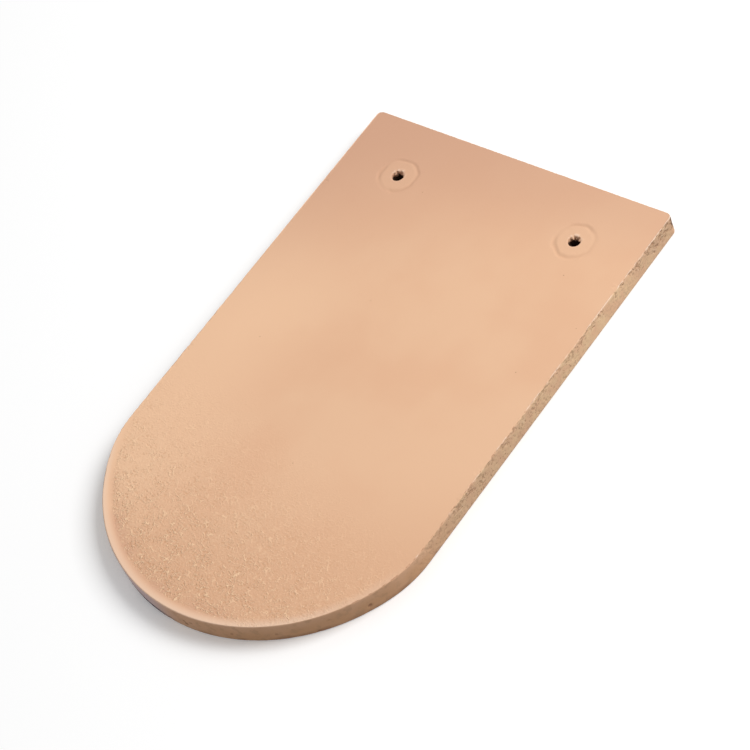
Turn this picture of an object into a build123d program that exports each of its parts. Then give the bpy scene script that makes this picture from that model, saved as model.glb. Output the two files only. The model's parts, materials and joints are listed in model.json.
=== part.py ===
# Plain clay roof tile with a round tail, fired as one piece.
# Frame: millimetres, origin under the middle of the tile on the face it lies on,
# +X across the tile, +Y towards the head with the nail holes, +Z up through the thickness.
import os
from math import asin, cos

from build123d import *

# Format of the tile
tile_width = 165.0
tile_length = 265.0
face_height = 10.4

# Outline: square-cut head, tail punched to one wide arc that meets the sides at soft shoulders
head_corner_radius = 3.0
tail_arc_radius = 85.0
shoulder_radius = 55.0

# Edges: the tail keeps a low lip where the press plate stops short of it, because the
# plate's round end is a little smaller than the tail and stands off its centre
lip_height = 0.45
press_radius = 84.3
press_shift_across = 1.7
press_shift_along = 3.2
press_edge_radius = 18.0
press_clearance = 5.0
top_arris_radius = 1.1
underside_arris_radius = 0.6

# Nail holes near the head, each in a round seat bounded by a shallow pressed crease
nail_hole_diameter = 6.0
nail_hole_spacing = 99.5
nail_hole_from_head = 30.0
nail_hole_mouth_radius = 0.4
seat_diameter = 18.0
crease_width = 1.3
crease_depth = 0.35

half_width = tile_width / 2
head_y = tile_length / 2
tail_y = -tile_length / 2
tail_centre_y = tail_y + tail_arc_radius
shoulder_y = tail_centre_y - tail_arc_radius * cos(asin(half_width / tail_arc_radius))
press_centre = (press_shift_across, tail_centre_y + press_shift_along)
press_half_width = press_radius + press_edge_radius
press_reach = head_y - press_centre[1] + press_edge_radius + press_clearance
nail_hole_y = head_y - nail_hole_from_head
crease_radius = (crease_width**2 / 4 + crease_depth**2) / (2 * crease_depth)


def is_nail_hole_mouth(edge):
    return abs(edge.radius - nail_hole_diameter / 2) < nail_hole_mouth_radius / 2


# Press plate: flat below, with a wide round along its lower edge that draws up the lip
with BuildPart() as press_plate:
    with BuildSketch(Plane.XY.offset(face_height)):
        with Locations(press_centre):
            Circle(press_half_width)
            Rectangle(2 * press_half_width, press_reach, align=(Align.CENTER, Align.MIN))
    extrude(amount=press_edge_radius + press_clearance)
    fillet(press_plate.edges().group_by(Axis.Z)[0], press_edge_radius)

with BuildPart() as clay_tile:
    # Blank: a flat slab of clay, cut square at the head and punched round at the tail
    with BuildSketch() as outline:
        with BuildLine():
            sides_and_head = Polyline(
                (half_width, shoulder_y),
                (half_width, head_y),
                (-half_width, head_y),
                (-half_width, shoulder_y),
            )
            ThreePointArc(sides_and_head @ 1, (0, tail_y), sides_and_head @ 0)
        make_face()
        fillet(outline.vertices().group_by(Axis.Y)[0], shoulder_radius)
        fillet(outline.vertices().group_by(Axis.Y)[-1], head_corner_radius)
    extrude(amount=face_height + lip_height)

    # Arrises, softened before firing
    fillet(clay_tile.edges().group_by(Axis.Z)[-1], top_arris_radius)
    fillet(clay_tile.edges().group_by(Axis.Z)[0], underside_arris_radius)

    # Top face: pressed down flat, which leaves the lip standing round the tail
    add(press_plate.part, mode=Mode.SUBTRACT)

    # Nail holes, punched straight through, with mouths rounded by the pin
    with Locations((0, nail_hole_y, face_height)):
        with GridLocations(nail_hole_spacing, 0, 2, 1):
            Hole(nail_hole_diameter / 2)
    mouths = clay_tile.edges().filter_by(GeomType.CIRCLE).filter_by(is_nail_hole_mouth)
    fillet(mouths, nail_hole_mouth_radius)

    # Seats: the collar of the punch leaves a shallow round-bottomed crease round each hole
    with Locations((0, nail_hole_y, face_height + crease_radius - crease_depth)):
        with GridLocations(nail_hole_spacing, 0, 2, 1):
            Torus(seat_diameter / 2, crease_radius, mode=Mode.SUBTRACT)

os.makedirs("parts", exist_ok=True)
clay_tile.part.label = "clay_tile"
export_step(clay_tile.part, "parts/clay_tile.step")
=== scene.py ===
import json
from math import asin, atan2, cos, pi, radians, sin, sqrt

import bmesh
import bpy
from mathutils import Matrix, Vector
from mathutils.geometry import delaunay_2d_cdt


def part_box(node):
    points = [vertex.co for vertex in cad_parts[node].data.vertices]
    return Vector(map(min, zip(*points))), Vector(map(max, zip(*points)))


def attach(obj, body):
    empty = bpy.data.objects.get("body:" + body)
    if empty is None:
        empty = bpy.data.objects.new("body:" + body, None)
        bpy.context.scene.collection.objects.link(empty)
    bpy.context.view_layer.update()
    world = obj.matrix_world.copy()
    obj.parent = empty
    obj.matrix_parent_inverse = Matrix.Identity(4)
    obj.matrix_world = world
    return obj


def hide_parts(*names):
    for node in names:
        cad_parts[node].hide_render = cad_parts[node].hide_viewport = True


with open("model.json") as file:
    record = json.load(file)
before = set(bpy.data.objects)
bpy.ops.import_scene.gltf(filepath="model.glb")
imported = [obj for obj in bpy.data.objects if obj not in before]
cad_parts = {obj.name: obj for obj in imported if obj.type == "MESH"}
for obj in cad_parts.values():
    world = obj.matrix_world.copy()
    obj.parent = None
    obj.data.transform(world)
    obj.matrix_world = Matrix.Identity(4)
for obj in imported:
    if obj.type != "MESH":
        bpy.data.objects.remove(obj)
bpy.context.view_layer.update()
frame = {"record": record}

# Tile: one slab of clay, cut square at the head and punched round at the tail, holed twice near
# the head, pressed flat and fired. The press plate stops short of the round tail, so a low lip
# stands there, and the collar of the hole punch leaves a creased seat round each nail hole.
half_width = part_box("clay_tile")[1].x
half_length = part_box("clay_tile")[1].y
face_height = 0.0104
lip_height = 0.00045
slab_height = face_height + lip_height
tail_arc_radius = 0.085
shoulder_radius = 0.055
head_corner_radius = 0.003
top_arris_radius = 0.0011
underside_arris_radius = 0.0006

nail_holes = [mount for mount in frame["record"]["mounts"] if mount["kind"] == "bore"]
hole_places = [Vector(mount["pos_m"][:2]) for mount in nail_holes]
hole_radius = nail_holes[0]["dims"]["r_mm"] / 1000
mouth_arris_radius = 0.0004
mouth_radius = hole_radius + mouth_arris_radius
seat_radius = 0.009

tail_centre = Vector((0.0, tail_arc_radius - half_length))
shoulder_reach = tail_arc_radius - shoulder_radius
shoulder_drop = sqrt(shoulder_reach**2 - (half_width - shoulder_radius) ** 2)
shoulder_centre = Vector((half_width - shoulder_radius, tail_centre.y - shoulder_drop))
shoulder_turn = asin(shoulder_drop / shoulder_reach)

# Gaps between the mesh's points: close where the clay is grainy, pitted or creased
edge_gap = 0.00060
side_rows = 16
top_arris_steps = 7
underside_arris_steps = 3
tail_gap = 0.00076
tail_zone_top = -0.036
field_gap = 0.0019
seat_gap = 0.00038
seat_zone = 0.0115
mouth_steps = 4
bore_rows = 12
underside_gap = 0.0032
same_place = 1e-7
weld_gap = 1e-6


def heading(angle):
    return Vector((cos(angle), sin(angle)))


def outline_places(gap):
    """Even places round the tile's edge, anticlockwise, each with its outward direction."""
    corner = Vector((half_width - head_corner_radius, half_length - head_corner_radius))
    arcs = [
        (corner, head_corner_radius, 0, pi / 2),
        (Vector((-corner.x, corner.y)), head_corner_radius, pi / 2, pi),
        (Vector((-shoulder_centre.x, shoulder_centre.y)), shoulder_radius, pi, pi + shoulder_turn),
        (tail_centre, tail_arc_radius, pi + shoulder_turn, 2 * pi - shoulder_turn),
        (shoulder_centre, shoulder_radius, 2 * pi - shoulder_turn, 2 * pi),
    ]
    places = []
    for (centre, radius, start, end), following in zip(arcs, arcs[1:] + arcs[:1]):
        steps = round(radius * (end - start) / gap)
        for step in range(steps):
            outward = heading(start + (end - start) * step / steps)
            places.append((centre + radius * outward, outward))
        outward = heading(end)
        leaves = centre + radius * outward
        arrives = following[0] + following[1] * outward
        steps = round((arrives - leaves).length / gap)
        for step in range(steps):
            places.append((leaves.lerp(arrives, step / steps), outward))
    return places


def depth_inside(place):
    """How far a place on the face lies in from the edge of the tile."""
    from_shoulder = Vector((abs(place.x), place.y)) - shoulder_centre
    to_side = half_width - abs(place.x)
    if from_shoulder.y < 0:
        if atan2(from_shoulder.y, from_shoulder.x) > -shoulder_turn:
            to_side = shoulder_radius - from_shoulder.length
        else:
            to_side = tail_arc_radius - (place - tail_centre).length
    return min(to_side, half_length - place.y)


def spread_places(gap, bottom, top, margin):
    """Places in staggered rows over the face, clear of its edge and of the nail-hole seats."""
    row_gap = gap * sqrt(3) / 2
    places = []
    for row in range(int((top - bottom) / row_gap) + 1):
        shift = gap / 2 if row % 2 else 0
        for column in range(int(2 * half_width / gap) + 1):
            place = Vector((shift + column * gap - half_width, bottom + row * row_gap))
            clear = all((place - hole).length > seat_zone + gap / 3 for hole in hole_places)
            if clear and depth_inside(place) > margin:
                places.append(place)
    return places


def ring_places(centre, radius, count):
    return [centre + radius * heading(2 * pi * step / count) for step in range(count)]


def quarter_round(radius, steps):
    """Section of a round edge as (inset, drop) pairs, from the upright face to the flat one."""
    turns = [pi / 2 * step / steps for step in range(steps + 1)]
    return [(radius - radius * cos(turn), radius - radius * sin(turn)) for turn in turns]


def even_steps(start, end, steps):
    """Values between two heights, leaving both ends out."""
    return [start + (end - start) * step / steps for step in range(1, steps)]


def add_rings(mesh, rings):
    """Joins rings with quads. Each ring is a list of (place, height)."""
    rows = [[mesh.verts.new((place.x, place.y, height)) for place, height in ring] for ring in rings]
    for lower, upper in zip(rows, rows[1:]):
        for here in range(len(lower)):
            beyond = (here + 1) % len(lower)
            mesh.faces.new((lower[here], lower[beyond], upper[beyond], upper[here]))


def add_face(mesh, places, height):
    """Covers a flat spread of places with triangles, and leaves the nail holes open."""
    spread, _, triangles = delaunay_2d_cdt(places, [], [], 0, same_place, False)[:3]
    verts = [mesh.verts.new((place.x, place.y, height)) for place in spread]
    for triangle in triangles:
        middle = sum((spread[corner] for corner in triangle), Vector((0, 0))) / 3
        if all((middle - hole).length > mouth_radius for hole in hole_places):
            mesh.faces.new([verts[corner] for corner in triangle])


edge = outline_places(edge_gap)
underside_round = quarter_round(underside_arris_radius, underside_arris_steps)
top_round = quarter_round(top_arris_radius, top_arris_steps)
side_heights = even_steps(underside_arris_radius, slab_height - top_arris_radius, side_rows)
edge_section = list(reversed(underside_round))
edge_section += [(0, height) for height in side_heights]
edge_section += [(inset, slab_height - drop) for inset, drop in top_round]

mouth_round = quarter_round(mouth_arris_radius, mouth_steps)
bore_heights = even_steps(mouth_arris_radius, face_height - mouth_arris_radius, bore_rows)
bore_section = [(mouth_radius, slab_height)]
bore_section += [(hole_radius + inset, face_height - drop) for inset, drop in reversed(mouth_round[:-1])]
bore_section += [(hole_radius, height) for height in reversed(bore_heights)]
bore_section += [(hole_radius + inset, drop) for inset, drop in mouth_round]
mouth_count = round(2 * pi * hole_radius / seat_gap)

blank = bmesh.new()
add_rings(blank, [
    [(place - outward * inset, height) for place, outward in edge] for inset, height in edge_section
])
for hole in hole_places:
    add_rings(blank, [
        [(place, height) for place in ring_places(hole, radius, mouth_count)]
        for radius, height in bore_section
    ])

top_places = [place - outward * top_arris_radius for place, outward in edge]
under_places = [place - outward * underside_arris_radius for place, outward in edge]
for hole in hole_places:
    top_places += ring_places(hole, mouth_radius, mouth_count)
    under_places += ring_places(hole, mouth_radius, mouth_count)
    for ring in range(1, int((seat_zone - mouth_radius) / seat_gap) + 1):
        radius = mouth_radius + ring * seat_gap
        top_places += ring_places(hole, radius, round(2 * pi * radius / seat_gap))
top_places += spread_places(tail_gap, -half_length, tail_zone_top, top_arris_radius + tail_gap / 2)
top_places += spread_places(
    field_gap, tail_zone_top + field_gap / 2, half_length, top_arris_radius + field_gap / 2
)
under_places += spread_places(
    underside_gap, -half_length, half_length, underside_arris_radius + underside_gap / 2
)
add_face(blank, top_places, slab_height)
add_face(blank, under_places, 0)
bmesh.ops.remove_doubles(blank, verts=blank.verts, dist=weld_gap)
bmesh.ops.recalc_face_normals(blank, faces=blank.faces)
for face in blank.faces:
    face.smooth = True
blank_mesh = bpy.data.meshes.new("tile_blank")
blank.to_mesh(blank_mesh)
blank.free()
tile = bpy.data.objects.new("fired_tile", blank_mesh)
bpy.context.scene.collection.objects.link(tile)


def feed(tree, socket, value):
    """Joins a socket to another one, or sets it to a plain value."""
    if isinstance(value, bpy.types.NodeSocket):
        tree.links.new(value, socket)
    else:
        socket.default_value = value


def maths(tree, operation, *values):
    node = tree.nodes.new("ShaderNodeMath")
    node.operation = operation
    for socket, value in zip(node.inputs, values):
        feed(tree, socket, value)
    return node.outputs[0]


def total(tree, *values):
    result = values[0]
    for value in values[1:]:
        result = maths(tree, "ADD", result, value)
    return result


def product(tree, *values):
    result = values[0]
    for value in values[1:]:
        result = maths(tree, "MULTIPLY", result, value)
    return result


def split(tree, vector):
    node = tree.nodes.new("ShaderNodeSeparateXYZ")
    feed(tree, node.inputs[0], vector)
    return node.outputs[:]


def fade(tree, value, start, end, first=0.0, last=1.0):
    """Goes smoothly from first to last as the value goes from start to end.

    Where the value is a place or a height, start and end are metres in the tile's own frame.
    """
    node = tree.nodes.new("ShaderNodeMapRange")
    node.interpolation_type = "SMOOTHSTEP"
    for socket, given in zip(node.inputs, (value, start, end, first, last)):
        feed(tree, socket, given)
    return node.outputs[0]


def clouds(tree, place, size, detail=2.0, roughness=0.5):
    """Soft random patches of about one size, as a value round 0.5."""
    node = tree.nodes.new("ShaderNodeTexNoise")
    feed(tree, node.inputs["Vector"], place)
    node.inputs["Scale"].default_value = 1 / size
    node.inputs["Detail"].default_value = detail
    node.inputs["Roughness"].default_value = roughness
    return node.outputs[0]


def shifted(tree, place, seed):
    """The same places in another part of the pattern."""
    node = tree.nodes.new("ShaderNodeVectorMath")
    node.operation = "ADD"
    feed(tree, node.inputs[0], place)
    offset = tree.nodes.new("ShaderNodeCombineXYZ")
    feed(tree, offset.inputs[2], seed)
    tree.links.new(offset.outputs[0], node.inputs[1])
    return node.outputs[0]


def spots(tree, place, gap, inner, outer, share):
    """Round spots in a share of the cells: 1 in a spot's middle, 0 outside it."""
    node = tree.nodes.new("ShaderNodeTexVoronoi")
    feed(tree, node.inputs["Vector"], place)
    node.inputs["Scale"].default_value = 1 / gap
    luck = split(tree, node.outputs["Color"])[0]
    chosen = maths(tree, "LESS_THAN", luck, share)
    return product(tree, chosen, fade(tree, node.outputs["Distance"], inner, outer, 1.0, 0.0))


def drawn_out(tree, place, turn, stretch):
    """The same places, so that a pattern on them is drawn out along one direction of the face."""
    x, y, z = split(tree, place)
    along = total(tree, product(tree, x, cos(turn)), product(tree, y, sin(turn)))
    across = total(tree, product(tree, x, -sin(turn)), product(tree, y, cos(turn)))
    joined = tree.nodes.new("ShaderNodeCombineXYZ")
    for socket, value in zip(joined.inputs, (product(tree, along, 1 / stretch), across, z)):
        feed(tree, socket, value)
    return joined.outputs[0]


# Torn clay: wrinkles, flecks and curled threads on the tail, drag marks in the cut sides
wrinkle_size = 0.00083
wrinkle_turn = radians(-10)
wrinkle_stretch = 1.4
fleck_size = 0.00075
fleck_turn = radians(35)
fleck_stretch = 1.6
thread_size = 0.0030
thread_gap_size = 0.0024
drag_mark_size = 0.00095
drag_mark_turn = pi / 2
drag_mark_stretch = 1.6
band_foot_size = 0.0060
band_foot_wander = 0.020


def torn_grain(tree, place):
    """Fine torn clay, as (dark wrinkles, light flecks and threads)."""
    wrinkle_place = drawn_out(tree, place, wrinkle_turn, wrinkle_stretch)
    fleck_place = drawn_out(tree, place, fleck_turn, fleck_stretch)
    torn = clouds(tree, wrinkle_place, size=wrinkle_size, detail=2.0, roughness=0.6)
    flecks = clouds(tree, fleck_place, size=fleck_size, detail=1.0)
    off_thread = maths(tree, "SUBTRACT", clouds(tree, place, size=thread_size, detail=1.0), 0.5)
    threads = fade(tree, maths(tree, "ABSOLUTE", off_thread), 0.010, 0.048, 1.0, 0.0)
    unbroken = fade(tree, clouds(tree, place, size=thread_gap_size, detail=1.0), 0.46, 0.56)
    threads = product(tree, threads, unbroken)
    return torn, maths(tree, "MAXIMUM", fade(tree, flecks, 0.57, 0.68), threads)


def cut_marks(tree, place, y, z):
    """Torn clay in the cut sides, as (dark drag marks, light crumbs), in a band below the arris.

    The band is deep at the head, narrow a little below the nail holes and deep again further down.
    """
    foot_at_head = fade(tree, y, 0.080, 0.125, 0.0084, 0.0038)
    foot_below = fade(tree, y, 0.050, 0.075, 0.0060, 0.0084)
    band_foot = maths(tree, "MINIMUM", foot_at_head, foot_below)
    raggedness = maths(tree, "SUBTRACT", clouds(tree, place, size=band_foot_size, detail=2.0), 0.5)
    level = total(tree, z, product(tree, raggedness, band_foot_wander))
    in_band = fade(tree, level, band_foot, total(tree, band_foot, 0.0022))
    scattered = maths(tree, "MAXIMUM", in_band, fade(tree, y, 0.080, 0.055, 0.0, 0.55))
    drawn_place = drawn_out(tree, place, drag_mark_turn, drag_mark_stretch)
    torn = clouds(tree, drawn_place, size=drag_mark_size, detail=2.0, roughness=0.65)
    bar = fade(tree, scattered, 0.0, 1.0, 0.66, 0.50)
    marks = fade(tree, torn, bar, total(tree, bar, 0.09))
    strength = product(tree, fade(tree, y, 0.040, 0.100, 0.72, 1.0), fade(tree, y, -0.080, -0.050))
    crumbs = product(tree, fade(tree, torn, 0.42, 0.34), in_band)
    return product(tree, marks, strength), product(tree, crumbs, strength)


# Relief that the press, the hole punch and the cutting wire leave in the blank
press_shift_across = 0.0017
press_shift_along = 0.0032
relief_sizes = {
    "Face Height": face_height,
    "Press Centre X": press_shift_across,
    "Press Centre Y": tail_centre.y + press_shift_along,
    "Press Radius": 0.0843,
    "Press Edge Radius": 0.018,
    "Dip Depth": 0.00034,
    "Hole Spacing": abs(hole_places[1].x - hole_places[0].x),
    "Hole Y": hole_places[0].y,
    "Seat Radius": seat_radius,
    "Crease Half Width": 0.00150,
    "Crease Depth": 0.00030,
    "Burr Height": 0.00026,
    "Crumb Length": 0.0013,
    "Grain Height": 0.00008,
    "Swell Height": 0.00022,
    "Side Relief": 0.00012,
    "Pit Depth": 0.00028,
    "Nick Depth": 0.000168,
    "Cut Burr Height": 0.00012,
    "Seed": 0.37,
}
relief = bpy.data.node_groups.new("tile_relief", "GeometryNodeTree")
relief.interface.new_socket("Geometry", in_out="OUTPUT", socket_type="NodeSocketGeometry")
relief.interface.new_socket("Geometry", in_out="INPUT", socket_type="NodeSocketGeometry")
relief_sockets = {
    name: relief.interface.new_socket(name, in_out="INPUT", socket_type="NodeSocketFloat").identifier
    for name in relief_sizes
}
clay_socket = relief.interface.new_socket("Clay", in_out="INPUT", socket_type="NodeSocketMaterial")
given = relief.nodes.new("NodeGroupInput").outputs


def point_value(tree, name, geometry, value):
    """Keeps a value on the points, for the clay's material to read."""
    node = tree.nodes.new("GeometryNodeStoreNamedAttribute")
    feed(tree, node.inputs["Geometry"], geometry)
    node.inputs["Name"].default_value = name
    feed(tree, node.inputs["Value"], value)
    return node.outputs[0]


def distance(tree, across, along):
    return maths(tree, "SQRT", total(tree, product(tree, across, across), product(tree, along, along)))


place = relief.nodes.new("GeometryNodeInputPosition").outputs[0]
normal = relief.nodes.new("GeometryNodeInputNormal").outputs[0]
x, y, z = split(relief, place)
normal_x, normal_y, normal_z = split(relief, normal)
place = shifted(relief, place, given["Seed"])

# Press plate: nothing stands above it, and its rounded edge draws up the lip
press_x = maths(relief, "SUBTRACT", x, given["Press Centre X"])
press_y = maths(relief, "MINIMUM", maths(relief, "SUBTRACT", y, given["Press Centre Y"]), 0.0)
past_press = maths(relief, "SUBTRACT", distance(relief, press_x, press_y), given["Press Radius"])
on_round = maths(relief, "MAXIMUM", past_press, 0.0)
square_edge = product(relief, given["Press Edge Radius"], given["Press Edge Radius"])
round_square = product(relief, on_round, on_round)
round_fall = maths(relief, "SQRT", maths(relief, "SUBTRACT", square_edge, round_square))
lip = maths(relief, "SUBTRACT", given["Press Edge Radius"], round_fall)
pressed = maths(relief, "MINIMUM", z, total(relief, given["Face Height"], lip))

# Where each place lies: on top, underneath, in a nail hole or round the sides
on_top = fade(relief, normal_z, 0.6, 0.95)
on_under = fade(relief, normal_z, -0.6, -0.95)
half_spacing = product(relief, given["Hole Spacing"], 0.5)
hole_x = maths(relief, "SUBTRACT", maths(relief, "ABSOLUTE", x), half_spacing)
hole_y = maths(relief, "SUBTRACT", y, given["Hole Y"])
from_hole = distance(relief, hole_x, hole_y)
hole_wall = fade(relief, from_hole, 0.0040, 0.0045, 1.0, 0.0)
upright = fade(relief, maths(relief, "ABSOLUTE", normal_z), 0.3, 0.8, 1.0, 0.0)
on_side = maths(relief, "MAXIMUM", maths(relief, "SUBTRACT", upright, hole_wall), 0.0)

# Shallow dip round the foot of the lip, on its left part
dip_inner = fade(relief, past_press, -0.0125, 0.0020)
dip_outer = fade(relief, past_press, -0.0010, 0.0026, 1.0, 0.0)
dip_right_end = fade(relief, x, 0.006, 0.036, 1.0, 0.12)
dip_left_end = fade(relief, y, -0.104, -0.078, 1.0, 0.0)
dip_place = product(relief, dip_inner, dip_inner, dip_outer, dip_right_end, dip_left_end, on_top)
dip = product(relief, dip_place, given["Dip Depth"])

# Creased seats: the collar's mark wanders a little and is deeper in some places than others
seat_wander = 0.0024
wander = maths(relief, "SUBTRACT", clouds(relief, place, size=0.0065, detail=1.0), 0.55)
seat_edge = total(relief, from_hole, product(relief, wander, seat_wander))
off_crease = maths(relief, "ABSOLUTE", maths(relief, "SUBTRACT", seat_edge, given["Seat Radius"]))
crease = fade(relief, maths(relief, "DIVIDE", off_crease, given["Crease Half Width"]), 0.0, 1.0, 1.0, 0.0)
crease_patches = clouds(relief, place, size=0.011, detail=0.0)
crease = product(relief, crease, fade(relief, crease_patches, 0.3, 0.6, 0.35, 1.0))
seat = fade(relief, seat_edge, 0.0085, 0.0092, 1.0, 0.0)

# Ragged mouths: the pin drags crumbs of clay into the hole on its head side, where they hang
# down into it a little and stand up on the rim
drag_across = -0.15
drag_along = 0.99
crumb_size = 0.0013
crumb_droop = -0.4
signed_hole_x = product(relief, hole_x, maths(relief, "SIGN", x))
drag_way = total(
    relief, product(relief, signed_hole_x, drag_across), product(relief, hole_y, drag_along)
)
dragged = fade(relief, maths(relief, "DIVIDE", drag_way, from_hole), -0.1, 0.6)
crumbs = clouds(relief, place, size=crumb_size, detail=1.0)
near_mouth = fade(relief, from_hole, 0.0031, 0.0046, 1.0, 0.0)
lifted = fade(relief, dragged, 0.0, 1.0, 0.35, 1.0)
lifted_crumbs = product(relief, fade(relief, crumbs, 0.42, 0.70), lifted)
burr = product(relief, near_mouth, on_top, lifted_crumbs, given["Burr Height"])
hang_depth = fade(relief, z, 0.0076, 0.0098)
off_top = maths(relief, "SUBTRACT", 1.0, on_top)
off_under = maths(relief, "SUBTRACT", 1.0, on_under)
hang = product(relief, near_mouth, hang_depth, off_top, fade(relief, crumbs, 0.40, 0.68), dragged)
hang = product(relief, hang, given["Crumb Length"])

# Grain of the tail, where the clay stuck to the press: strongest at the lower left, and gone by
# the middle of the tile. It stops at the lip on the left and runs over it on the right
grain_across = -0.25
grain_along = -0.97
fleck_rise = 0.5
grain_way = total(relief, product(relief, x, grain_across), product(relief, y, grain_along))
grain_on_lip = fade(relief, x, 0.010, 0.045, 0.0, 0.8)
grain = product(
    relief,
    fade(relief, grain_way, 0.026, 0.122),
    fade(relief, past_press, -0.0012, 0.0004, 1.0, grain_on_lip),
    fade(relief, clouds(relief, place, size=0.0068, detail=1.0), 0.36, 0.60, 0.55, 1.10),
    on_top,
)
torn, flecks = torn_grain(relief, place)
torn = total(relief, torn, product(relief, flecks, fleck_rise), -1.0)
grain_rise = product(relief, torn, grain, given["Grain Height"])

# Hand of the press: the face is nowhere quite flat
swell = maths(relief, "SUBTRACT", clouds(relief, place, size=0.045, detail=1.0), 0.72)
swell = product(relief, swell, on_top, given["Swell Height"])

# Sides: cut by wire and sandy along the straights, with crumbs left standing beside the drag marks,
# and smooth with a few pits round the tail. Nothing stands out past the cut itself
crumb_share = -0.4
at_tail = fade(relief, y, -0.054, -0.078)
sandy = product(relief, on_side, maths(relief, "SUBTRACT", 1.0, at_tail))
smooth_tail = product(relief, on_side, at_tail)
drag_marks, side_crumbs = cut_marks(relief, place, y, z)
drag_marks = total(relief, drag_marks, product(relief, side_crumbs, crumb_share))
drag_marks = product(relief, drag_marks, sandy)
low_down = fade(relief, z, 0.0070, 0.0045)
pit_spots = spots(relief, place, gap=0.0045, inner=0.15, outer=0.28, share=0.5)
tail_pits = product(relief, pit_spots, low_down, smooth_tail)
side_grains = clouds(relief, place, size=0.0014, detail=3.0, roughness=0.6)
side_waves = clouds(relief, place, size=0.006, detail=1.0)
side_in = total(
    relief,
    product(relief, side_grains, sandy, given["Side Relief"]),
    product(relief, side_waves, smooth_tail, given["Side Relief"]),
    product(relief, total(relief, drag_marks, tail_pits), given["Pit Depth"]),
)
side_in = maths(relief, "MAXIMUM", side_in, 0.0)

# Thin ragged burr that the wire leaves standing along the sides, more of it near the head
head_share = 0.20
on_arris = product(relief, fade(relief, normal_z, 0.30, 0.55), fade(relief, normal_z, 0.70, 0.92, 1.0, 0.0))
long_side = fade(relief, maths(relief, "ABSOLUTE", x), half_width - 0.0012, half_width - 0.0008)
near_head = fade(relief, y, 0.000, 0.125)
torn_edge = clouds(relief, place, size=0.0042, detail=2.0)
torn_edge = total(relief, torn_edge, product(relief, near_head, head_share))
cut_burr = product(relief, on_arris, long_side, fade(relief, torn_edge, 0.52, 0.68))

# Nicks along the arris further down, where the clay tore away as it was cut
nick_stretch = product(relief, fade(relief, y, -0.105, -0.090), fade(relief, y, 0.060, 0.000))
off_middle = fade(relief, maths(relief, "ABSOLUTE", x), 0.066, 0.070)
nicks = fade(relief, clouds(relief, place, size=0.0034, detail=2.0), 0.50, 0.57)
nicks = product(relief, nicks, on_arris, off_middle, nick_stretch)

rise = total(relief, burr, grain_rise, swell, product(relief, cut_burr, given["Cut Burr Height"]))
sink = total(relief, dip, product(relief, crease, on_top, given["Crease Depth"]))
new_z = maths(relief, "SUBTRACT", total(relief, pressed, rise), sink)
new_x = total(relief, x, product(relief, normal_x, hang))
new_y = total(relief, y, product(relief, normal_y, hang))
new_z = total(relief, new_z, product(relief, hang, crumb_droop))
pressed_place = relief.nodes.new("ShaderNodeCombineXYZ")
for socket, value in zip(pressed_place.inputs, (new_x, new_y, new_z)):
    feed(relief, socket, value)
inward = relief.nodes.new("ShaderNodeVectorMath")
inward.operation = "SCALE"
feed(relief, inward.inputs[0], normal)
nick_in = product(relief, nicks, given["Nick Depth"])
feed(relief, inward.inputs["Scale"], product(relief, total(relief, side_in, nick_in), -1.0))
moved = relief.nodes.new("ShaderNodeVectorMath")
moved.operation = "ADD"
feed(relief, moved.inputs[0], pressed_place.outputs[0])
feed(relief, moved.inputs[1], inward.outputs[0])

# What the material reads: how much each place is lip, grain, crease and so on
tail_y = maths(relief, "SUBTRACT", y, tail_centre.y)
tail_reach = distance(relief, x, maths(relief, "MINIMUM", tail_y, 0.0))
from_edge = maths(relief, "SUBTRACT", tail_arc_radius, tail_reach)
lip_width = fade(relief, x, -0.075, -0.040, 0.0034, 0.0052)
# The lip's mark reaches down over its arris, where the lip's cream also serves as a painted highlight
lip_strength = product(
    relief,
    fade(relief, x, 0.050, 0.078, 1.0, 0.4),
    fade(relief, y, -0.066, -0.086),
    fade(relief, normal_z, 0.20, 0.60),
)
marks = {
    "top_face": on_top,
    "underside": on_under,
    "lip": product(relief, fade(relief, from_edge, lip_width, 0.0003), lip_strength),
    "dip": dip_place,
    "grain": grain,
    "crease": product(relief, crease, on_top),
    "seat": product(relief, seat, on_top),
    "mouth": product(relief, fade(relief, from_hole, 0.0032, 0.0039, 1.0, 0.0), on_top),
    "crumbs": product(relief, near_mouth, on_top, fade(relief, crumbs, 0.50, 0.64), dragged),
    "sandy": sandy,
    "smooth_tail": smooth_tail,
    "tail_pits": tail_pits,
    "hole_wall": product(relief, hole_wall, off_top, off_under),
    "dragged": dragged,
    "cut_burr": cut_burr,
    "nicks": nicks,
}
shape = given["Geometry"]
for name, value in marks.items():
    shape = point_value(relief, name, shape, value)
move = relief.nodes.new("GeometryNodeSetPosition")
feed(relief, move.inputs["Geometry"], shape)
feed(relief, move.inputs["Position"], moved.outputs[0])
realized = relief.nodes.new("GeometryNodeRealizeInstances")
feed(relief, realized.inputs[0], move.outputs[0])
set_clay = relief.nodes.new("GeometryNodeSetMaterial")
feed(relief, set_clay.inputs["Geometry"], realized.outputs[0])
feed(relief, set_clay.inputs["Material"], given["Clay"])
relief_out = relief.nodes.new("NodeGroupOutput")
feed(relief, relief_out.inputs[0], set_clay.outputs[0])

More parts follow.
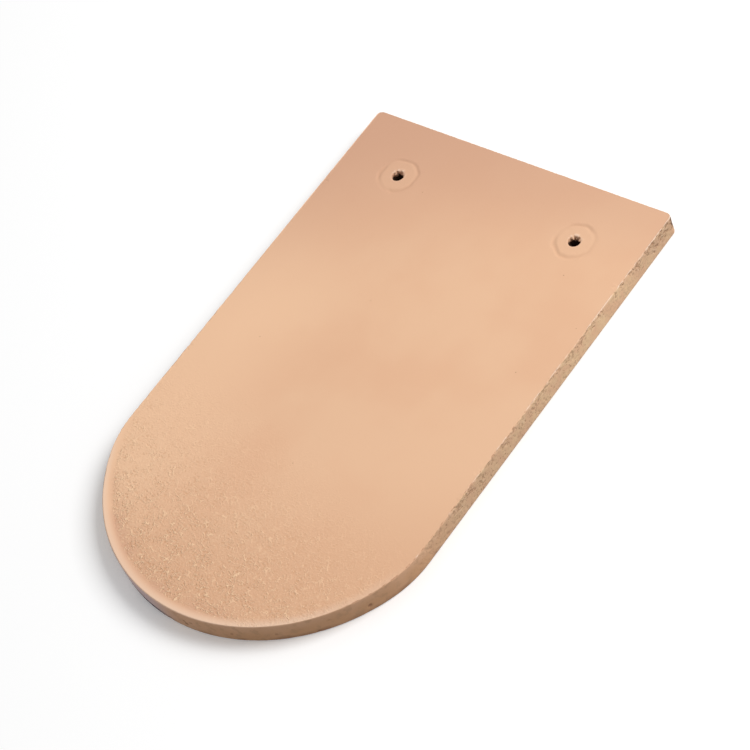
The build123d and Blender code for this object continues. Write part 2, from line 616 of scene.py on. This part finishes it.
# Clay: light buff body, fired matt. Peach clouds on top, a paler lip, sandy cut sides, a browner tail
face_peach = (0.800, 0.480, 0.300, 1)
face_buff = (0.825, 0.515, 0.326, 1)
face_pale = (0.890, 0.568, 0.362, 1)
head_rose_and_shade = (0.655, 0.373, 0.245, 1)
tail_tan = (0.760, 0.449, 0.276, 1)
dip_rose_and_shade = (0.690, 0.395, 0.262, 1)
lip_cream = (0.835, 0.588, 0.430, 1)
wrinkle_shadow_brown = (0.570, 0.270, 0.120, 1)
fleck_cream = (0.990, 0.680, 0.430, 1)
crease_shade_brown = (0.560, 0.320, 0.195, 1)
speck_brown = (0.300, 0.150, 0.080, 1)
painted_hole_shade = (0.060, 0.026, 0.014, 1)
cut_sand = (0.930, 0.635, 0.383, 1)
cut_rose = (0.890, 0.555, 0.345, 1)
cut_shade = (0.605, 0.378, 0.235, 1)
drag_brown = (0.410, 0.195, 0.110, 1)
chip_shade_dark = (0.130, 0.072, 0.045, 1)
burr_cream_and_highlight = (0.960, 0.720, 0.560, 1)
tail_brown = (0.705, 0.395, 0.214, 1)
tail_buff = (0.835, 0.510, 0.328, 1)
tail_umber = (0.540, 0.315, 0.185, 1)
tail_dark = (0.350, 0.165, 0.092, 1)
painted_shade_lilac = (0.800, 0.610, 0.600, 1)
painted_shade_black = (0.070, 0.050, 0.095, 1)
under_buff = (0.720, 0.450, 0.290, 1)

clay = bpy.data.materials.new("fired_clay_body")
clay.use_nodes = True
paint = clay.node_tree
shader = paint.nodes["Principled BSDF"]
body = paint.nodes.new("ShaderNodeTexCoord").outputs["Object"]
body_x, body_y, body_z = split(paint, body)
seeded = shifted(paint, body, relief_sizes["Seed"])


def mark(name):
    node = paint.nodes.new("ShaderNodeAttribute")
    node.attribute_name = name
    return node.outputs["Fac"]


def blended(tree, amount, under, over):
    """The colour under, with the colour over laid on it by the amount."""
    node = tree.nodes.new("ShaderNodeMix")
    node.data_type = "RGBA"
    feed(tree, node.inputs[0], amount)
    feed(tree, node.inputs[6], under)
    feed(tree, node.inputs[7], over)
    return node.outputs[2]


# Top face: soft clouds, paler down the left side, rosier to the head and browner round the tail. The head's
# darker rose is partly the kiln's flashing and partly painted shade, strongest at the head's left corner
face_clouds = clouds(paint, body, size=0.05, detail=3.0)
colour = blended(paint, fade(paint, face_clouds, 0.35, 0.65), face_peach, face_buff)
left_strength = 0.8
left_side = product(paint, fade(paint, body_x, -0.010, -0.070), fade(paint, body_y, 0.095, 0.020))
colour = blended(paint, product(paint, left_side, left_strength), colour, face_pale)
to_head_left = total(paint, product(paint, body_x, -0.55), product(paint, body_y, 0.83))
colour = blended(paint, fade(paint, to_head_left, 0.035, 0.155), colour, head_rose_and_shade)
colour = blended(paint, fade(paint, body_y, 0.090, 0.130, 0.0, 0.35), colour, head_rose_and_shade)
to_tail_right = total(paint, product(paint, body_x, 0.45), product(paint, body_y, -0.90))
colour = blended(paint, fade(paint, to_tail_right, 0.045, 0.112), colour, tail_tan)

# Dip, lip, seats, mouths of the nail holes and a few iron specks
# The dip is painted darker and rosier in patches: painted shade where its slope turns from the light, with
# a rosy tint
dip_patches = fade(paint, clouds(paint, body, size=0.013, detail=1.0), 0.38, 0.60, 0.25, 0.80)
colour = blended(paint, product(paint, mark("dip"), dip_patches), colour, dip_rose_and_shade)
for name, strength, over in (
    # The lip's cream is the paler skin of the rim, and on the lip's arris also a painted highlight
    ("lip", 0.88, lip_cream),
    ("seat", 0.25, face_buff),
    # The crease's brown is painted shade in the groove
    ("crease", 0.30, crease_shade_brown),
    ("mouth", 0.50, lip_cream),
    # The crumbs' cream is a painted highlight on the lifted crumbs
    ("crumbs", 0.80, burr_cream_and_highlight),
):
    colour = blended(paint, product(paint, mark(name), strength), colour, over)
speck_strength = 0.5
speck_spots = spots(paint, body, gap=0.011, inner=0.02, outer=0.035, share=0.4)
specks = product(paint, speck_spots, mark("top_face"))
colour = blended(paint, product(paint, specks, speck_strength), colour, speck_brown)

# Torn grain of the tail: light flecks, and brown wrinkles whose colour is painted shadow beside the flecks
wrinkle_shadow_strength = 0.44
fleck_strength = 0.66
torn, flecks = torn_grain(paint, seeded)
# Painted shadow in the wrinkles
wrinkles = product(paint, mark("grain"), fade(paint, torn, 0.50, 0.34, 0.0, wrinkle_shadow_strength))
colour = blended(paint, wrinkles, colour, wrinkle_shadow_brown)
colour = blended(paint, product(paint, mark("grain"), flecks, fleck_strength), colour, fleck_cream)

# Underside: plain, with faint marks drawn out along the tile
drawn_size = 0.0035
drawn_turn = pi / 2
drawn_stretch = 14
drawn_place = drawn_out(paint, body, drawn_turn, drawn_stretch)
drawn = clouds(paint, drawn_place, size=drawn_size, detail=3.0)
under_colour = blended(paint, fade(paint, drawn, 0.35, 0.65), under_buff, face_peach)
colour = blended(paint, mark("underside"), colour, under_colour)

# Cut sides: sandy, with rosy patches, brown drag marks and pale crumbs
sand_size = 0.0009
haze_strength = 0.35
drag_strength = 0.55
side_crumb_strength = 0.50
sand = clouds(paint, body, size=sand_size, detail=3.0, roughness=0.6)
cut_patches = fade(paint, clouds(paint, body, size=0.0075, detail=2.0), 0.38, 0.62)
cut_colour = blended(paint, cut_patches, cut_sand, cut_rose)
# Painted shade in the hollows of the sand, in patches, with the shaded copy of the cut colour
rough_patches = fade(paint, clouds(paint, body, size=0.016, detail=1.0), 0.40, 0.58, 0.15, 0.50)
roughness = product(paint, fade(paint, sand, 0.54, 0.38), rough_patches)
cut_colour = blended(paint, roughness, cut_colour, cut_shade)
# Painted shade with the shaded copy of the cut colour: a haze low down at the head end, a layer growing
# towards the tail but lighter near the arris, and one at the head end
haze = product(paint, fade(paint, body_y, 0.092, 0.125), fade(paint, body_z, 0.0030, 0.0070))
cut_colour = blended(paint, product(paint, haze, haze_strength), cut_colour, cut_shade)
off_arris = fade(paint, body_z, 0.0086, 0.0098, 1.0, 0.35)
painted_shade_low = product(paint, fade(paint, body_y, 0.080, -0.035, 0.0, 0.45), off_arris)
painted_shade_head = fade(paint, body_y, 0.088, 0.122, 0.0, 0.30)
cut_colour = blended(paint, total(paint, painted_shade_low, painted_shade_head), cut_colour, cut_shade)
dragged_clay, side_crumbs = cut_marks(paint, seeded, body_y, body_z)
cut_colour = blended(paint, product(paint, dragged_clay, drag_strength), cut_colour, drag_brown)
cut_colour = blended(paint, product(paint, side_crumbs, side_crumb_strength), cut_colour, burr_cream_and_highlight)

# Painted shade of small chips in the upright corner at the head's right-hand end
chip_size = 0.0018
out_x = fade(paint, body_x, half_width - 0.0018, half_width - 0.0009)
out_y = fade(paint, body_y, half_length - 0.0032, half_length - 0.0016)
chip_shade = fade(paint, clouds(paint, body, size=chip_size, detail=2.0), 0.43, 0.52)
chip_shade = product(paint, chip_shade, out_x, out_y, fade(paint, body_z, 0.0025, 0.0050))
cut_colour = blended(paint, chip_shade, cut_colour, chip_shade_dark)

# Tail's side: browner, with red-brown pits, paler towards the top and dark at the foot, both painted shade,
# and a patch of painted lilac and near-black shade at the lower left
patch_paleness = 0.25
pit_strength = 0.8
black_shade_strength = 0.92
tail_patches = fade(paint, clouds(paint, body, size=0.011, detail=2.0), 0.35, 0.65)
paler_left = fade(paint, body_x, 0.040, -0.010)
# Paler towards the top of the side: painted light
paler_top = fade(paint, body_z, 0.0040, 0.0100, 0.0, 0.45)
paler = total(paint, product(paint, tail_patches, patch_paleness), paler_top)
paler = maths(paint, "MAXIMUM", paler, paler_left)
tail_colour = blended(paint, paler, tail_brown, tail_buff)
mottles = fade(paint, clouds(paint, body, size=0.0042, detail=3.0, roughness=0.6), 0.48, 0.66, 0.0, 0.45)
tail_colour = blended(paint, mottles, tail_colour, tail_umber)
# Dark at the foot, in patches: painted shade
foot_patches = fade(paint, tail_patches, 0.0, 1.0, 0.05, 0.60)
painted_foot_shade = product(paint, fade(paint, body_z, 0.0034, 0.0008), foot_patches)
tail_colour = blended(paint, painted_foot_shade, tail_colour, tail_dark)
tail_colour = blended(paint, product(paint, mark("tail_pits"), pit_strength), tail_colour, tail_dark)
# Painted shade at the lower left of the tail's side: lilac, and near black low down
lilac_shade_patch = product(paint, fade(paint, body_x, -0.060, -0.034), fade(paint, body_x, 0.004, -0.018))
tail_colour = blended(paint, lilac_shade_patch, tail_colour, painted_shade_lilac)
black_shade_patch = product(paint, fade(paint, body_x, -0.034, -0.020), fade(paint, body_x, -0.002, -0.012))
black_shade_patch = product(paint, black_shade_patch, fade(paint, body_z, 0.0036, 0.0016))
tail_colour = blended(paint, product(paint, black_shade_patch, black_shade_strength), tail_colour, painted_shade_black)

# Both kinds of side together, with the pale burr and the brown nicks of the arris over them. The burr's
# cream is partly a painted highlight along the arris
nick_strength = 0.80
browned = fade(paint, body_y, -0.030, -0.075)
side_colour = blended(paint, browned, cut_colour, tail_colour)
colour = blended(paint, total(paint, mark("sandy"), mark("smooth_tail")), colour, side_colour)
colour = blended(paint, mark("cut_burr"), colour, burr_cream_and_highlight)
colour = blended(paint, product(paint, mark("nicks"), nick_strength), colour, drag_brown)

# Inside the nail holes: clay colour at the mouth, which reaches further down on the side with the dragged
# crumbs, and near-black painted shade below a ragged line
ragged_size = 0.0016
ragged_height = 0.004
dragged_drop = 0.0011
hole_ragged = maths(paint, "SUBTRACT", clouds(paint, body, size=ragged_size, detail=1.0), 0.5)
hole_ragged = product(paint, hole_ragged, ragged_height)
hole_level = total(paint, body_z, hole_ragged, product(paint, mark("dragged"), dragged_drop))
hole_shade = fade(paint, hole_level, face_height - 0.0024, face_height - 0.0008)
colour = blended(paint, mark("hole_wall"), colour, blended(paint, hole_shade, painted_hole_shade, colour))

# Fired matt: hardly any sheen, and rougher in some grains than in others
least_rough = 0.78
most_rough = 0.92
clay_sheen = 0.3
grain_bump = 0.00034
drag_bump = 0.00022
drawn_bump = 0.00020
sand_bump = 0.00012
plain_grain = 0.04
plain_sand = 0.12
side_sand = 0.6
drawn_strength = 0.5
feed(paint, shader.inputs["Base Color"], colour)
feed(paint, shader.inputs["Roughness"], fade(paint, sand, 0.2, 0.8, least_rough, most_rough))
shader.inputs["Specular IOR Level"].default_value = clay_sheen


def bumped(height, strength, depth, under=None):
    node = paint.nodes.new("ShaderNodeBump")
    node.inputs["Distance"].default_value = depth
    feed(paint, node.inputs["Height"], height)
    feed(paint, node.inputs["Strength"], strength)
    if under:
        feed(paint, node.inputs["Normal"], under)
    return node.outputs[0]


grain_height = total(paint, torn, product(paint, flecks, fleck_rise))
bump = bumped(grain_height, total(paint, mark("grain"), plain_grain), grain_bump)
drag_height = product(paint, dragged_clay, -1.0)
bump = bumped(drag_height, mark("sandy"), drag_bump, bump)
bump = bumped(drawn, product(paint, mark("underside"), drawn_strength), drawn_bump, bump)
sandiness = total(paint, product(paint, mark("sandy"), side_sand), plain_sand)
bump = bumped(sand, sandiness, sand_bump, bump)
feed(paint, shader.inputs["Normal"], bump)

pressing = tile.modifiers.new("relief", "NODES")
pressing.node_group = relief
for name, size in relief_sizes.items():
    pressing[relief_sockets[name]] = size
pressing[clay_socket.identifier] = clay
finished = bpy.data.meshes.new_from_object(tile.evaluated_get(bpy.context.evaluated_depsgraph_get()))
tile.modifiers.remove(pressing)
tile.data = finished
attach(tile, "root")
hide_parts("clay_tile")

# Floor: a wide matt sheet under the tile, white to the camera and mid grey to the light that it
# throws back, so that the sides of the tile keep their shade.
floor_half = 3.0
bounce_grey = (0.30, 0.30, 0.30, 1)
sheet_white = (1.0, 1.0, 1.0, 1)
sheet_glow = 0.08

floor_mesh = bpy.data.meshes.new("floor")
floor_corners = [(across * floor_half, along * floor_half, 0)
                 for across, along in ((-1, -1), (1, -1), (1, 1), (-1, 1))]
floor_mesh.from_pydata(floor_corners, [], [(0, 1, 2, 3)])
floor = bpy.data.objects.new("floor", floor_mesh)
bpy.context.scene.collection.objects.link(floor)
sheet = bpy.data.materials.new("floor_sheet")
sheet.use_nodes = True
sheet_nodes = sheet.node_tree
rays = sheet_nodes.nodes.new("ShaderNodeLightPath").outputs
mirrored = maths(sheet_nodes, "MAXIMUM", rays["Is Glossy Ray"], rays["Is Transmission Ray"])
seen = maths(sheet_nodes, "MAXIMUM", rays["Is Camera Ray"], mirrored)
sheet_shader = sheet_nodes.nodes["Principled BSDF"]
feed(sheet_nodes, sheet_shader.inputs["Base Color"], blended(sheet_nodes, seen, bounce_grey, sheet_white))
sheet_shader.inputs["Roughness"].default_value = 1.0
sheet_shader.inputs["Specular IOR Level"].default_value = 0.0
sheet_shader.inputs["Emission Color"].default_value = sheet_white
feed(sheet_nodes, sheet_shader.inputs["Emission Strength"], product(sheet_nodes, seen, sheet_glow))
floor_mesh.materials.append(sheet)

# Light: one broad soft box up beyond the head's right-hand corner, which lights the cut side and
# leaves the tail's side in shade, and an even pale room round it.
soft_box_place = Vector((0.92, 1.05, 1.40))
soft_box_size = 1.1
soft_box_watts = 30
room_light = 0.48

soft_box_data = bpy.data.lights.new("soft_box", "AREA")
soft_box_data.size = soft_box_size
soft_box_data.energy = soft_box_watts
soft_box = bpy.data.objects.new("soft_box", soft_box_data)
soft_box.location = soft_box_place
soft_box.rotation_euler = (-soft_box_place).to_track_quat("-Z", "Y").to_euler()
bpy.context.scene.collection.objects.link(soft_box)
room = bpy.data.worlds.new("room")
room.use_nodes = True
room.node_tree.nodes["Background"].inputs["Strength"].default_value = room_light
room.node_tree.nodes["Background"].inputs["Color"].default_value = (1, 1, 1, 1)
bpy.context.scene.world = room
bpy.context.scene.view_settings.view_transform = "Standard"

# Camera: looks down on the lying tile from beyond its right-hand side and tail, a little rolled,
# through a long lens.
camera_place = Vector((0.64728, -0.42441, 0.89305))
camera_aim = Vector((0.00922, 0.00456, face_height))
camera_roll = radians(-25.246)
lens_length = 129.88
sensor_width = 36

camera_data = bpy.data.cameras.new("camera")
camera_data.lens = lens_length
camera_data.sensor_width = sensor_width
camera = bpy.data.objects.new("camera", camera_data)
camera.location = camera_place
level = (camera_aim - camera_place).to_track_quat("-Z", "Y").to_matrix()
camera.rotation_euler = (level @ Matrix.Rotation(camera_roll, 3, "Z")).to_euler()
bpy.context.scene.collection.objects.link(camera)
bpy.context.scene.camera = camera
